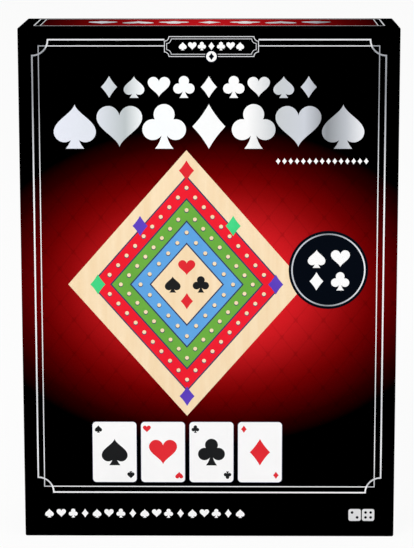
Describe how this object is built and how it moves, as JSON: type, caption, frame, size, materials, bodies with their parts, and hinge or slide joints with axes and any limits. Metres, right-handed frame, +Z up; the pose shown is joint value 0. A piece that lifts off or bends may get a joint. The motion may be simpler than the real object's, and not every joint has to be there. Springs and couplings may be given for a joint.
{
  "type": "cribbage box with peg drawer",
  "caption": "Upright game box with a lift-off lid; inside, a formed tray holds a folding cribbage board with a peg drawer, playing cards and a rules leaflet.",
  "frame": {"origin": "middle of the underside of the standing box", "axes": "+Z up along the box's long side, +X to the right of the front cover, -Y out of the front cover"},
  "size_m": [0.203, 0.064, 0.2798],
  "materials": {
    "greyboard": "matte grey chipboard",
    "printed_wrap": "satin varnished print, black and red with silver lines",
    "black_wrap": "satin black paper",
    "tray_plastic": "black formed sheet",
    "leaflet_paper": "uncoated",
    "board_wood": "clear lacquered light hardwood with painted lanes",
    "drawer_wood": "clear lacquered",
    "peg_red": "gloss",
    "peg_green": "gloss",
    "peg_purple": "gloss",
    "card_stock": "coated, smooth",
    "band_paper": "satin",
    "hinge_brass": "polished",
    "screw_brass": "polished"
  },
  "bodies": {
    "base": {"base_board": "greyboard", "base_wrap": "black_wrap", "insert_tray": "tray_plastic"},
    "lid": {"lid_board": "greyboard", "lid_wrap": "printed_wrap"},
    "leaflet": {"rules_leaflet": "leaflet_paper"},
    "board_back": {"board_half_back": "board_wood", "hinge_left_leaf_back": "hinge_brass", "hinge_right_leaf_back": "hinge_brass", "hinge_left_pin": "hinge_brass", "hinge_right_pin": "hinge_brass", "hinge_screws_back": "screw_brass"},
    "board_front": {"board_half_front": "board_wood", "hinge_left_leaf_front": "hinge_brass", "hinge_right_leaf_front": "hinge_brass", "hinge_screws_front": "screw_brass"},
    "drawer": {"peg_drawer": "drawer_wood", "pegs_red": "peg_red", "pegs_green": "peg_green", "pegs_purple": "peg_purple"},
    "deck": {"playing_cards": "card_stock", "deck_band": "band_paper"}
  },
  "joints": [
    {"name": "lid_slide", "type": "slide", "parent": "base", "child": "lid", "axis": [0, -1, 0], "range_m": [0, 0.85]},
    {"name": "leaflet_lift_out", "type": "slide", "parent": "base", "child": "leaflet", "axis": [0, -1, 0], "range_m": [0, 0.82]},
    {"name": "board_lift_out", "type": "slide", "parent": "base", "child": "board_back", "axis": [0, -1, 0], "range_m": [0, 0.151]},
    {"name": "board_fold", "type": "hinge", "parent": "board_back", "child": "board_front", "pos_m": [-0.0387, -0.00775, 0.26312], "axis": [-1, 0, 0], "range_deg": [0, 180]},
    {"name": "peg_drawer_slide", "type": "slide", "parent": "board_back", "child": "drawer", "axis": [0, 0, -1], "range_m": [0, 0.046]},
    {"name": "deck_lift_out", "type": "slide", "parent": "base", "child": "deck", "axis": [0, -1, 0], "range_m": [0, 0.076]}
  ],
  "couplings": [
    {"joint": "leaflet_lift_out", "follows": "lid_slide", "ratio": 0.96},
    {"joint": "board_lift_out", "follows": "lid_slide", "ratio": 0.1765},
    {"joint": "board_fold", "follows": "lid_slide", "rad_per_m": 3.6959},
    {"joint": "deck_lift_out", "follows": "lid_slide", "ratio": 0.0882}
  ]
}
